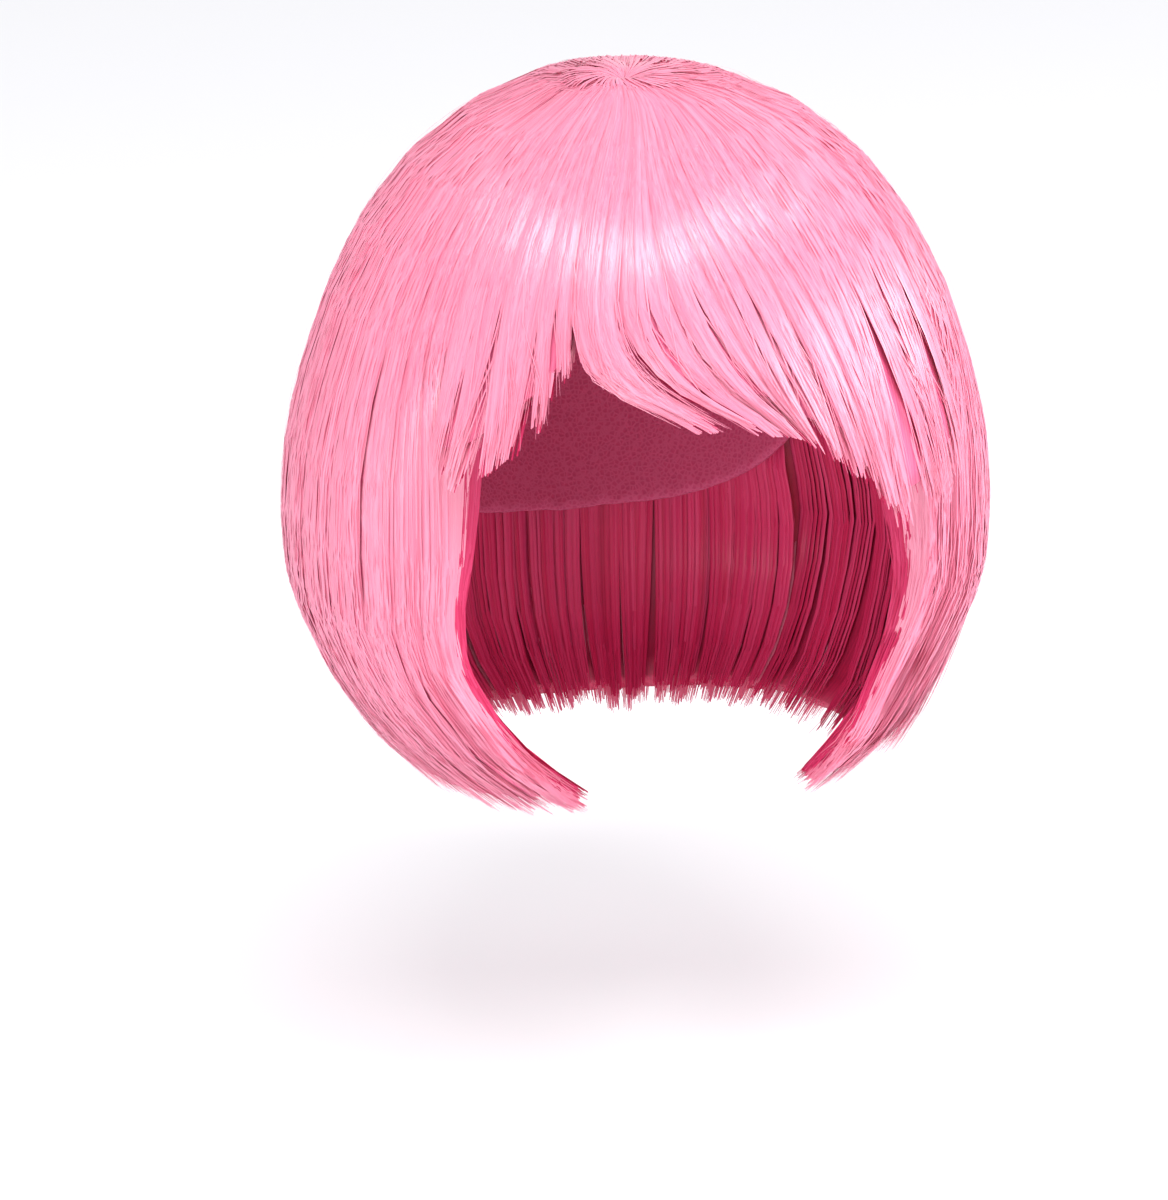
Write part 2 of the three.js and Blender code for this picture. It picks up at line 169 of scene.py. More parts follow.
def stand_for(piece, node):
    """Makes a piece ride on the wig and show in place of its CAD node."""
    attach(piece, "root")
    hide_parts(node)


cap = smooth_piece("cap_net", merged_copy("cap"), warp_knitted_net())
rounder = cap.modifiers.new("rounder", "SUBSURF")
rounder.levels = rounder.render_levels = 1
stand_for(cap, "cap")


# Back curtain. Modacrylic fibre in combed locks, which hangs from the whorl over the back of the
# cap to the nape and is heat-set to curl under. Under the fibres that are drawn one by one lies a
# mass of many more.
HAIR_ABOVE_CAP = 0.0175
CROWN_RISE = 0.0025
CROWN_BEHIND_WHORL = 0.028
CROWN_RISE_ENDS = 0.112
HAIR_LENGTH = 0.241
HAIR_HALF_WIDTH = 0.118
HAIR_MIDDLE_X = 0.0015
HAIR_FRONT = 0.110
HAIR_BACK = 0.123
WHORL_X = -0.008
WHORL_Y = -0.014
WHORL_SHIFT_ENDS = 0.15
RIDGE_HEIGHT = 0.0032
MEAN_CREST = 0.6
RIDGES_FULL_AT = 0.35
FRONT_TUCK = 0.012
TUCK_DROPS = [0.3, 0.55, 0.8, 0.95]
OUTLINE = [
    {"drop": 0.01, "side": 0.0, "front": 0.0, "back": 0.0},
    {"drop": 0.0, "side": 0.06, "front": 0.06, "back": 0.06},
    {"drop": 0.003, "side": 0.13, "front": 0.13, "back": 0.14},
    {"drop": 0.014, "side": 0.235, "front": 0.235, "back": 0.25},
    {"drop": 0.032, "side": 0.335, "front": 0.34, "back": 0.355},
    {"drop": 0.058, "side": 0.445, "front": 0.46, "back": 0.47},
    {"drop": 0.11, "side": 0.595, "front": 0.62, "back": 0.62},
    {"drop": 0.19, "side": 0.735, "front": 0.775, "back": 0.77},
    {"drop": 0.28, "side": 0.84, "front": 0.88, "back": 0.87},
    {"drop": 0.38, "side": 0.915, "front": 0.96, "back": 0.94},
    {"drop": 0.49, "side": 0.975, "front": 1.0, "back": 0.985},
    {"drop": 0.61, "side": 1.0, "front": 1.0, "back": 1.0},
    {"drop": 0.71, "side": 0.985, "front": 0.98, "back": 0.985},
    {"drop": 0.8, "side": 0.915, "front": 0.91, "back": 0.915},
    {"drop": 0.88, "side": 0.82, "front": 0.815, "back": 0.82},
    {"drop": 0.945, "side": 0.71, "front": 0.71, "back": 0.71},
    {"drop": 1.0, "side": 0.585, "front": 0.6, "back": 0.59},
]

CURTAIN_LEVELS = [0.2, 0.68, 0.88]
BACK_LINES = [
    {"azimuths": [125, 125, 125, 125], "drop": 0.985, "tuck": 0},
    {"azimuths": [180, 180, 180, 180], "drop": 1.0, "tuck": 0},
    {"azimuths": [235, 235, 235, 235], "drop": 0.985, "tuck": 0},
]
BACK_LOCKS = 13

LOCK_RIDGE_SHOWN = 0.55  # combing softens the ridges of the locks
WISPS_PER_LOCK = 2
WISP_ARCH = 0.0006  # a wisp's middle above its sides
WISP_LAYER = 0.0011  # how far one wisp's tip may lie under its neighbour's
PARTING_DEPTH = 0.0016  # how far the fibres drop in a gap between two wisps
PARTING_WIDTH = 0.08  # of a wisp's width
PARTING_SHARE = 0.5  # of the gaps open into partings
PARTING_WAVE = 9  # how fast a parting opens and closes down the hair
PARTING_WANDER = 2.5

RIBBON_HALF_WIDTH = 0.00075  # a flat bundle of some two hundred real fibres
STRAND_HALF_WIDTH = 0.00026  # a fine bundle of some thirty
STRANDS_ABOVE = 0.0003  # how far the fine bundles lie over the flat ones
LATE_SHARE = 0.4  # of the outer strands come out from under the others
LATE_DEPTH = 0.0018  # where they come from
LINING_POINTS = 11
HEM_POINTS = 5
HEM_START = 0.82  # of the way down
RIBBON_SECTION = [(-1.0, 0.0), (-0.5, 0.24), (0.5, 0.24), (1.0, 0.0)]
MASS_INSET = 0.0023
LINING_INSET = 0.0016
MASS_LEAST = 0.0006  # its thickness where the wall is thin
MASS_ACROSS = 64
MASS_ALONG = 32
WALL_ACROSS = 12  # places where a wall's thickness is measured
WALL_ALONG = 16
WALL_START = 0.06  # the first of them, as a share of the way, and the last ones
WALL_END_ACROSS = 0.94
WALL_END_ALONG = 0.97
WALL_GUESS = 0.004  # where a wall can't be measured
RAY_START = 0.004  # above the hair
BAKE_CELLS = 48  # a strand has a cell of its own in a square of this many a side
FIBRES_SHOWN = 9.0  # across a bundle; the real number would be too fine to show

FIBRE_PALE_HEX = "#F391AF"
FIBRE_HEX = "#F085A4"
FIBRE_DEEP_HEX = "#EC7A9C"
# Painted shade: the lining is the same pink fibre, drawn deeper and redder for the shade inside the
# hair.
LINING_SHADE_PALE_HEX = "#DC4474"
LINING_SHADE_HEX = "#D23264"
LINING_SHADE_DEEP_HEX = "#C32453"
MASS_HEX = "#F07298"
MASS_DEEP_HEX = "#DC5383"
# Painted shade for the inner side of the mass, deeper still than the outer side.
MASS_INSIDE_SHADE_HEX = "#B01E4B"


def smoothstep(value, start, end):
    share = np.clip((value - start) / (end - start), 0, 1)
    return share * share * (3 - 2 * share)


def follow(places, values, at):
    """Smooth curves through a table. Each row of values is a curve, and at has a row for it."""
    values = np.broadcast_to(values, (len(at), len(places)))
    slopes = np.gradient(values, places, axis=1)
    low = np.clip(np.searchsorted(places, at, side="right") - 1, 0, len(places) - 2)
    step = places[low + 1] - places[low]
    t = np.clip((at - places[low]) / step, -0.3, 1.3)
    here, there = (np.take_along_axis(values, low + k, axis=1) for k in (0, 1))
    leave, arrive = (np.take_along_axis(slopes, low + k, axis=1) * step for k in (0, 1))
    rise = t * t * (3 - 2 * t)
    bend = t * (1 - t) * (leave * (1 - t) - arrive * t)
    return here * (1 - rise) + there * rise + bend


SEARCH_PLACES = 1500
outline = {name: np.array([row[name] for row in OUTLINE]) for name in OUTLINE[0]}
steps = np.hypot(
    np.diff(outline["drop"]) * HAIR_LENGTH, np.diff(outline["side"]) * HAIR_HALF_WIDTH
)
outline_lengths = np.concatenate([[0.0], np.cumsum(steps)])
hair_end = outline_lengths[-1]
search_lengths = np.linspace(outline_lengths[1], hair_end, SEARCH_PLACES)
search_drops = follow(outline_lengths, outline["drop"], search_lengths[None])[0]


def distance_at_drop(drop):
    return np.interp(drop, search_drops, search_lengths)


def surface(azimuth, distance, lift):
    """Points of the hair's outer surface, moved outwards on the level by lift."""
    flat = distance.reshape(1, -1)
    drop, side, front, back = (
        follow(outline_lengths, outline[name], flat).reshape(distance.shape)
        for name in ("drop", "side", "front", "back")
    )
    angle = np.radians(azimuth)
    across, ahead = np.sin(angle), np.cos(angle)
    depth = np.where(ahead > 0, front * HAIR_FRONT, back * HAIR_BACK)
    radius = lift + 1 / np.hypot(across / (side * HAIR_HALF_WIDTH), ahead / depth)
    at_whorl = 1 - smoothstep(distance, 0, WHORL_SHIFT_ENDS * hair_end)
    rise = smoothstep(distance, 0, CROWN_BEHIND_WHORL) * (1 - ahead) / 2
    rise = rise * (1 - smoothstep(distance, CROWN_BEHIND_WHORL, CROWN_RISE_ENDS))
    return np.stack(
        [
            HAIR_MIDDLE_X + (WHORL_X - HAIR_MIDDLE_X) * at_whorl + radius * across,
            WHORL_Y * at_whorl - radius * ahead,
            HAIR_ABOVE_CAP + CROWN_RISE * rise - drop * HAIR_LENGTH,
        ],
        axis=-1,
    )


SMALL_TURN = 0.5  # degrees
SMALL_STEP = 0.0005


def outward(azimuth, distance, lift):
    """The outward unit normals of that surface."""
    here = surface(azimuth, distance, lift)
    aside = surface(azimuth + SMALL_TURN, distance, lift) - here
    down = surface(azimuth, distance + SMALL_STEP, lift) - here
    normal = np.cross(down, aside)
    return normal / np.linalg.norm(normal, axis=-1, keepdims=True)


class Section:
    """A combed section of hair between its first and its last line."""

    def __init__(self, lines, levels, locks):
        self.locks = locks
        self.levels = np.array([0.0, *levels, 1.0])
        self.shares = np.linspace(0, 1, len(lines))
        self.azimuths = np.array([[line["azimuths"][0], *line["azimuths"]] for line in lines]).T
        self.drops = [line["drop"] for line in lines]
        self.tucks = [line["tuck"] for line in lines]

    def across(self, column, share):
        """A column of the lines' table at each share of the way across."""
        flat = np.clip(share, -0.04, 1.04).reshape(1, -1)
        return follow(self.shares, column, flat).reshape(share.shape)

    def lay(self, share, along, short, under):
        """Points of fibres and the hair's outward normals there. Each row is one fibre. Share is
        across the section, along is down the fibre, and under is the depth in the hair. The
        fibre ends short of the section's tip."""
        tip = distance_at_drop(self.across(self.drops, share))
        distance = (tip - short) * along
        lines = np.stack([self.across(column, share) for column in self.azimuths], axis=-1)
        azimuth = follow(
            self.levels,
            lines.reshape(-1, len(self.levels)),
            (distance / tip).reshape(-1, 1),
        ).reshape(share.shape)
        crest = np.sin(np.pi * np.mod(share * self.locks, 1)) - MEAN_CREST
        swell = np.clip(distance / (RIDGES_FULL_AT * hair_end), 0, 1) * LOCK_RIDGE_SHOWN
        at = distance_at_drop(TUCK_DROPS)
        turned = smoothstep(distance, at[0], at[1]) * (1 - smoothstep(distance, at[2], at[3]))
        tuck = self.across(self.tucks, share) * FRONT_TUCK * turned
        lift = RIDGE_HEIGHT * crest * swell - tuck
        normals = outward(azimuth, distance, lift)
        return surface(azimuth, distance, lift) - normals * under[..., None], normals

    def measure(self, node):
        """Measures the thickness of the section's CAD node, square to its outer surface."""
        work = merged_copy(node)
        tree = BVHTree.FromBMesh(work)
        work.free()
        share = np.linspace(WALL_START, WALL_END_ACROSS, WALL_ACROSS)[:, None] * np.ones(WALL_ALONG)
        along = np.linspace(WALL_START, WALL_END_ALONG, WALL_ALONG) * np.ones((WALL_ACROSS, 1))
        tops, normals = self.lay(share, along, 0, np.full(share.shape, -RAY_START))
        self.walls = np.full(share.shape, WALL_GUESS)
        for index in np.ndindex(share.shape):
            entry = tree.ray_cast(tops[index], -normals[index])[0]
            if entry is None:
                continue
            below = np.array(entry) - normals[index] * SMALL_STEP
            leave = tree.ray_cast(below, -normals[index])[0]
            if leave is not None:
                self.walls[index] = np.linalg.norm(np.array(leave) - tops[index]) - RAY_START
        for _ in range(2):
            rows = np.pad(self.walls, 1, mode="edge")
            rows = rows[:-2] + 2 * rows[1:-1] + rows[2:]
            self.walls = (rows[:, :-2] + 2 * rows[:, 1:-1] + rows[:, 2:]) / 16

    def wall(self, share, along):
        """The thickness of the section's wall, from the measured places."""
        across = np.clip((share - WALL_START) / (WALL_END_ACROSS - WALL_START), 0, 1)
        down = np.clip((along - WALL_START) / (WALL_END_ALONG - WALL_START), 0, 1)
        across, down = across * (WALL_ACROSS - 1), down * (WALL_ALONG - 1)
        row = np.minimum(across.astype(int), WALL_ACROSS - 2)
        column = np.minimum(down.astype(int), WALL_ALONG - 2)
        across, down = across - row, down - column
        near = self.walls[row, column] * (1 - down) + self.walls[row, column + 1] * down
        far = self.walls[row + 1, column] * (1 - down) + self.walls[row + 1, column + 1] * down
        return near * (1 - across) + far * across


def modacrylic_fibre(name, deep, middle, pale, shine):
    """Modacrylic is extruded, so its fibres are smooth and glossy, and their far sides reflect
    too. Side by side they spread the light across them and keep it narrow along them. Dye takes a
    little unevenly, so neighbouring bundles and the fibres in them differ in tone. Shine is less
    where fibres shade one another."""
    material = bpy.data.materials.new(name)
    material.use_nodes = True
    shader = material.node_tree.nodes["Principled BSDF"]
    shader.inputs["Roughness"].default_value = 0.35
    shader.inputs["IOR"].default_value = 1.52
    shader.inputs["Specular IOR Level"].default_value = shine
    shader.inputs["Anisotropic"].default_value = 0.8
    own = add_node(material, "ShaderNodeUVMap", {"uv_map": "OFBake"}).outputs["UV"]
    cells = add_node(
        material,
        "ShaderNodeVectorMath",
        {"operation": "MULTIPLY"},
        _0=own,
        _1=(BAKE_CELLS, BAKE_CELLS, 0),
    )
    cell = add_node(material, "ShaderNodeVectorMath", {"operation": "FLOOR"}, _0=cells.outputs[0])
    dye = add_node(
        material, "ShaderNodeTexWhiteNoise", {"noise_dimensions": "2D"}, Vector=cell.outputs[0]
    )
    drawn = add_node(
        material,
        "ShaderNodeVectorMath",
        {"operation": "MULTIPLY"},
        _0=cells.outputs[0],
        _1=(FIBRES_SHOWN, 1.5, 0),
    )
    fibres = add_node(
        material,
        "ShaderNodeTexNoise",
        {"noise_dimensions": "2D"},
        Vector=drawn.outputs[0],
        Detail=0.0,
        Scale=1,
    )
    tone = add_node(
        material,
        "ShaderNodeMix",
        {"data_type": "FLOAT"},
        _0=0.5,
        _2=dye.outputs["Value"],
        _3=fibres.outputs["Fac"],
    )
    colours = add_node(material, "ShaderNodeValToRGB", Fac=tone.outputs[0])
    set_stops(colours, [(0.2, deep), (0.5, middle), (0.8, pale)])
    across = add_node(
        material, "ShaderNodeTangent", {"direction_type": "UV_MAP", "uv_map": "OFBake"}
    )
    material.node_tree.links.new(colours.outputs["Color"], shader.inputs["Base Color"])
    material.node_tree.links.new(across.outputs["Tangent"], shader.inputs["Tangent"])
    return material


def combed_mass(name, deep, pale):
    """The inner fibres shade one another, so between the outer strands they look deeper. Streaks
    run down from the whorl."""
    material = bpy.data.materials.new(name)
    material.use_nodes = True
    shader = material.node_tree.nodes["Principled BSDF"]
    shader.inputs["Roughness"].default_value = 0.5
    place = add_node(material, "ShaderNodeTexCoord").outputs["Object"]
    parts = add_node(material, "ShaderNodeSeparateXYZ", Vector=place)
    turn = add_node(
        material,
        "ShaderNodeMath",
        {"operation": "ARCTAN2"},
        _0=parts.outputs["X"],
        _1=parts.outputs["Y"],
    )
    spread = add_node(
        material, "ShaderNodeCombineXYZ", X=turn.outputs[0], Y=parts.outputs["Z"], Z=0.0
    )
    drawn = add_node(
        material,
        "ShaderNodeVectorMath",
        {"operation": "MULTIPLY"},
        _0=spread.outputs[0],
        _1=(90, 9, 1),
    )
    streaks = add_node(
        material,
        "ShaderNodeTexNoise",
        {"noise_dimensions": "2D"},
        Vector=drawn.outputs[0],
        Detail=2.0,
        Scale=1,
    )
    colours = add_node(material, "ShaderNodeValToRGB", Fac=streaks.outputs["Fac"])
    set_stops(colours, [(0.35, deep), (0.65, pale)])
    material.node_tree.links.new(colours.outputs["Color"], shader.inputs["Base Color"])
    return material


fibre = modacrylic_fibre("modacrylic_fibre", FIBRE_DEEP_HEX, FIBRE_HEX, FIBRE_PALE_HEX, 1.0)
# The inner fibre is a shaded copy of the same fibre; its deeper colours are painted shade.
shaded_inner_fibre = modacrylic_fibre("shaded_inner_fibre", LINING_SHADE_DEEP_HEX, LINING_SHADE_HEX, LINING_SHADE_PALE_HEX, 0.2)
mass = combed_mass("combed_mass", MASS_DEEP_HEX, MASS_HEX)
# The inner side of the mass is painted a deeper shade.
shaded_inner_mass = combed_mass("shaded_inner_mass", MASS_INSIDE_SHADE_HEX, LINING_SHADE_DEEP_HEX)

# The section of a strand: flat below and low-arched above. Smooth shading rounds it off.
section_curve = bpy.data.curves.new("strand_section", "CURVE")
section_loop = section_curve.splines.new("POLY")
section_loop.points.add(len(RIBBON_SECTION) - 1)
for point, (across, above) in zip(section_loop.points, RIBBON_SECTION):
    point.co = (across, above, 0, 1)
section_loop.use_cyclic_u = True
strand_section = bpy.data.objects.new("strand_section", section_curve)
bpy.context.scene.collection.objects.link(strand_section)


def tilts(points, normals):
    """How far each point's section turns from where a Z-up curve has it, so that its arched side
    faces outwards."""
    ways = np.diff(points, axis=1)
    ways = ways / np.linalg.norm(ways, axis=2, keepdims=True)
    along = np.concatenate([ways[:, :1], ways[:, :-1] + ways[:, 1:], ways[:, -1:]], axis=1)
    along = along / np.linalg.norm(along, axis=2, keepdims=True)
    level = np.stack([along[..., 1], -along[..., 0], np.zeros(along.shape[:2])], axis=2)
    level = level / np.linalg.norm(level, axis=2, keepdims=True)
    upright = np.cross(along, level)
    return np.arctan2((normals * level).sum(2), -(normals * upright).sum(2))


def strands(name, places, half_widths, material):
    """One piece of many tapered strands, from their points and the hair's normals there. Their
    sides and ends are sharp, so that their tops shade alike."""
    points, normals = places
    count, length = half_widths.shape
    curve = bpy.data.curves.new(name, "CURVE")
    curve.dimensions = "3D"
    curve.twist_mode = "Z_UP"
    curve.bevel_mode = "OBJECT"
    curve.bevel_object = strand_section
    rows = np.concatenate([points, np.ones((count, length, 1))], axis=2)
    for strand_rows, strand_widths, strand_tilts in zip(rows, half_widths, tilts(points, normals)):
        spline = curve.splines.new("POLY")
        spline.points.add(length - 1)
        spline.points.foreach_set("co", strand_rows.ravel())
        spline.points.foreach_set("radius", strand_widths)
        spline.points.foreach_set("tilt", strand_tilts)
    guide = bpy.data.objects.new(name, curve)
    bpy.context.scene.collection.objects.link(guide)
    swept = guide.evaluated_get(bpy.context.evaluated_depsgraph_get())
    mesh = bpy.data.meshes.new_from_object(swept)
    bpy.data.objects.remove(guide)
    bpy.data.curves.remove(curve)
    work = bmesh.new()
    work.from_mesh(mesh)
    bpy.data.meshes.remove(mesh)
    sides = len(RIBBON_SECTION)
    ends = [edge for edge in work.edges if edge.is_boundary]
    for edge in work.edges:
        around = {vertex.index % sides for vertex in edge.verts}
        edge.smooth = not (edge.is_boundary or around in ({0}, {sides - 1}))
    bmesh.ops.holes_fill(work, edges=ends, sides=sides)
    bmesh.ops.recalc_face_normals(work, faces=work.faces)
    piece = smooth_piece(name, work, material)
    give_cells(piece.data, length)
    return piece


def give_cells(mesh, length):
    """A UV map with a cell for each strand: round it in U, and down it in V."""
    sides = len(RIBBON_SECTION)
    corners = np.empty(len(mesh.loops), np.int64)
    mesh.loops.foreach_get("vertex_index", corners)
    corners = corners.reshape(-1, 4)
    side = corners % sides
    ring = corners // sides % length
    strand = corners // (sides * length)
    end = (ring.min(axis=1) == ring.max(axis=1))[:, None]
    wraps = (side.max(axis=1) == sides - 1) & (side.min(axis=1) == 0)
    around = np.where(wraps[:, None] & (side == 0), sides, side)
    u = np.where(end, [0.1, 0.9, 0.9, 0.1], 0.1 + 0.8 * around / sides)
    beyond = np.where(ring == 0, 0.04, 0.92) + np.array([0.0, 0.0, 0.04, 0.04])
    v = np.where(end, beyond, 0.12 + 0.76 * ring / (length - 1))
    uv = np.stack([strand % BAKE_CELLS + u, strand // BAKE_CELLS + v], axis=2) / BAKE_CELLS
    while mesh.uv_layers:
        mesh.uv_layers.remove(mesh.uv_layers[0])
    mesh.uv_layers.new(name="OFBake").data.foreach_set("uv", uv.astype(np.float32).ravel())


def drawn_out(half_width, fineness, count, points, rng):
    """Half widths of strands that start narrow and are drawn out fine at their tips."""
    own = half_width * rng.uniform(0.75, 1.25, (count, 1))
    along = np.linspace(0, 1, points)
    start = 0.25 + 0.75 * smoothstep(along, 0.0, 0.2)
    return own * start * (1 - fineness * smoothstep(along, 0.75, 1.0))


class Wisps:
    """The wisps that a section's fibres are combed into. They draw together towards their tips,
    and some lie over others there."""

    def __init__(self, section, ragged, gather, sway=0.2):
        rng = np.random.default_rng(section.locks)
        self.gather = gather
        self.ragged = ragged
        self.count = section.locks * WISPS_PER_LOCK
        self.shift = rng.uniform(-0.25, 0.25, self.count + 1)
        self.phase = rng.uniform(0, math.tau, self.count + 1)
        self.parted = rng.random(self.count + 1) < PARTING_SHARE
        self.short = rng.normal(0, ragged * 0.7, self.count)
        self.sway = rng.normal(0, sway, self.count)
        self.layer = rng.uniform(0, WISP_LAYER, self.count)

    def of(self, own):
        """Which wisp each strand is in."""
        return np.clip(np.floor(own * self.count), 0, self.count - 1).astype(int)

    def place(self, own, along):
        """Where strands lie across the section at each point along them."""
        wisp = self.of(own)
        together = ((wisp + 0.5) / self.count - own) * self.gather * smoothstep(along, 0.6, 1.0)
        return own + together + self.sway[wisp] / self.count * smoothstep(along, 0.6, 1.1)

    def depth(self, own, share, along):
        """How far the hair's surface drops at the sides of a wisp and in the gaps between them."""
        spot = share * self.count
        edge = np.clip(np.round(spot), 0, self.count).astype(int)
        wandered = self.shift[edge] * (0.6 + 0.4 * np.sin(PARTING_WANDER * along))
        off = np.abs(spot - edge - wandered)
        open_here = smoothstep(np.sin(PARTING_WAVE * along + self.phase[edge]), 0.1, 0.9)
        seen = open_here * self.parted[edge]
        parting = np.exp(-((off / PARTING_WIDTH) ** 2)) * seen * smoothstep(along, 0.04, 0.16)
        arch = WISP_ARCH * np.clip(1 - 2 * off, 0, 1) ** 2
        layer = self.layer[self.of(own)] * smoothstep(along, 0.55, 0.9)
        return arch + PARTING_DEPTH * parting + layer

    def shortness(self, own, rng):
        """How far each strand ends above its lock's tip."""
        edge = np.abs(np.mod(own * self.count, 1) - 0.5) * 2
        uneven = rng.exponential(self.ragged * 1.5, own.shape) + self.ragged * (edge**2 - 1)
        return np.maximum(self.short[self.of(own)] + uneven, -0.005)


def outer_strands(
    section, count, seed, points, ragged, gather, sway, half_width, above=0.0, stray=0.0
):
    """The strands that show on the outside. Some start at the whorl, and the others come out
    from under them further down. Each may stray from its wisp by a share of the wisp's width."""
    rng = np.random.default_rng(seed)
    wisps = Wisps(section, ragged, gather, sway)
    own = (np.arange(count) + rng.uniform(-1, 1, count))[:, None] / count
    own = np.clip(rng.permutation(own), 0, 1)
    late = rng.random((count, 1)) < LATE_SHARE
    start = np.where(late, rng.uniform(0.05, 0.5, (count, 1)), rng.uniform(0.01, 0.04, (count, 1)))
    along = start + (1 - start) * np.linspace(0, 1, points)
    strayed = rng.normal(0, stray, (count, 1)) / wisps.count * smoothstep(along, 0.5, 1.0) ** 2
    share = wisps.place(own, along) + strayed
    under = wisps.depth(own, share, along) + rng.uniform(0, 0.0003, (count, 1)) - above
    under = under + LATE_DEPTH * (1 - smoothstep(along, start, start + 0.12)) * late
    places = section.lay(share, along, wisps.shortness(own, rng), under)
    return places, drawn_out(half_width, 0.85, count, points, rng)


def lining_strands(section, count, seed, start, ragged):
    """The strands on the inner side of a section."""
    rng = np.random.default_rng(seed)
    wisps = Wisps(section, ragged, 0.1)
    own = (np.arange(count) + rng.uniform(-1, 1, count))[:, None] / count
    own = np.clip(own, 0, 1)
    along = start + (1 - start) * np.linspace(0, 1, LINING_POINTS) * np.ones((count, 1))
    share = wisps.place(own, along)
    under = section.wall(share, along) + rng.uniform(-0.0008, 0.0002, (count, 1))
    points, normals = section.lay(share, along, wisps.shortness(own, rng), under)
    return (points, -normals), drawn_out(RIBBON_HALF_WIDTH, 0.7, count, LINING_POINTS, rng)


def hem_strands(section, count, seed, ragged):
    """The strands in the thickness of a section's hem, between the outer ones and the lining."""
    rng = np.random.default_rng(seed)
    wisps = Wisps(section, ragged, 0.1)
    own = rng.uniform(0, 1, (count, 1))
    along = np.linspace(HEM_START, 1, HEM_POINTS) * np.ones((count, 1))
    share = wisps.place(own, along)
    under = section.wall(share, along) * rng.uniform(0.15, 0.95, (count, 1))
    places = section.lay(share, along, wisps.shortness(own, rng), under)
    return places, drawn_out(RIBBON_HALF_WIDTH, 0.7, count, HEM_POINTS, rng)


def mass_piece(node, section, short):
    """All the fibres between the outer strands and the lining, as one soft form. It has the form
    of its CAD node, drawn in a little all round."""
    work = bmesh.new()
    bmesh.ops.create_grid(work, x_segments=MASS_ACROSS, y_segments=MASS_ALONG, size=1.0)
    spots = np.array([vertex.co for vertex in work.verts])
    share = 0.01 + 0.98 * (spots[:, :1] + 1) / 2
    along = 0.02 + 0.98 * (spots[:, 1:2] + 1) / 2
    outer, normals = section.lay(share, along, short, np.full(share.shape, MASS_INSET))
    wall = np.maximum(section.wall(share, along) - MASS_INSET - LINING_INSET, MASS_LEAST)
    inner = outer - normals * wall[..., None]
    inside = work.verts.layers.float_vector.new("inside")
    for vertex, outer_place, inner_place in zip(work.verts, outer[:, 0], inner[:, 0]):
        vertex.co = outer_place
        vertex[inside] = inner_place
    extruded = bmesh.ops.extrude_face_region(work, geom=work.faces[:], use_keep_orig=True)
    for part in extruded["geom"]:
        if isinstance(part, bmesh.types.BMVert):
            part.co = part[inside]
    work.verts.layers.float_vector.remove(inside)
    bmesh.ops.recalc_face_normals(work, faces=work.faces)
    piece = smooth_piece(node + "_mass", work, mass)
    piece.data.materials.append(shaded_inner_mass)
    # The inner faces take the painted shade of the inside of the hair.
    outer_faces = MASS_ACROSS * MASS_ALONG
    for polygon in piece.data.polygons[outer_faces:]:
        polygon.material_index = 1
    stand_for(piece, node)


def joined(*groups):
    """Groups of strands with as many points each, as one."""
    places, half_widths = zip(*groups)
    points, normals = zip(*places)
    return (np.concatenate(points), np.concatenate(normals)), np.concatenate(half_widths)


def hair(
    node, section, ribbons, fine, stray, lining, hem, seed, mass_short, lining_start, **comb
):
    """A section's mass, its flat outer strands with finer ones over them, and the strands that
    line and end it."""
    section.measure(node)
    mass_piece(node, section, mass_short)
    flat_ones = outer_strands(section, ribbons, seed, half_width=RIBBON_HALF_WIDTH, **comb)
    fine_ones = outer_strands(
        section,
        fine,
        seed + 1,
        half_width=STRAND_HALF_WIDTH,
        above=STRANDS_ABOVE,
        stray=stray,
        **comb,
    )
    outer = joined(flat_ones, fine_ones)
    ragged = comb["ragged"]
    for piece in (
        strands(node + "_strands", *outer, fibre),
        strands(
            node + "_lining",
            *lining_strands(section, lining, seed + 2, lining_start, ragged),
            shaded_inner_fibre,
        ),
        strands(node + "_hem", *hem_strands(section, hem, seed + 3, ragged), fibre),
    ):
        stand_for(piece, node)


hair(
    "back_curtain",
    Section(BACK_LINES, CURTAIN_LEVELS, BACK_LOCKS),
    ribbons=580,
    fine=180,
    stray=0.2,
    lining=450,
    hem=420,
    seed=11,
    mass_short=0.005,
    lining_start=0.5,
    points=13,
    ragged=0.0018,
    gather=0.1,
    sway=0.1,
)


# Side curtains. The same fibre over each ear. The front edge turns in towards the cheek, and the
# tips are set forwards to the chin.
SIDE_LINES = [
    {"azimuths": [54, 54, 53, 31], "drop": 0.955, "tuck": 1},
    {"azimuths": [66, 65, 62, 47], "drop": 0.975, "tuck": 0.1},
    {"azimuths": [90, 90, 88, 79], "drop": 0.985, "tuck": 0},
    {"azimuths": [125, 125, 125, 125], "drop": 0.985, "tuck": 0},
]
SIDE_LOCKS = 8
FRONT_POINTS = 10
FLICKED_STRANDS = 320
FLICKED_POINTS = 10
FLICK_START = 0.62  # of the way down
FLICK_SHORT = 0.014
FLICK_REACH = 0.006
FLICK_MIDDLE = 0.44  # of the way across
FLICK_SPREAD = 0.18


def mirrored(lines):
    """The same lines on the other side of the head."""
    turned = [{**line, "azimuths": [-azimuth for azimuth in line["azimuths"]]} for line in lines]
    return turned[::-1]


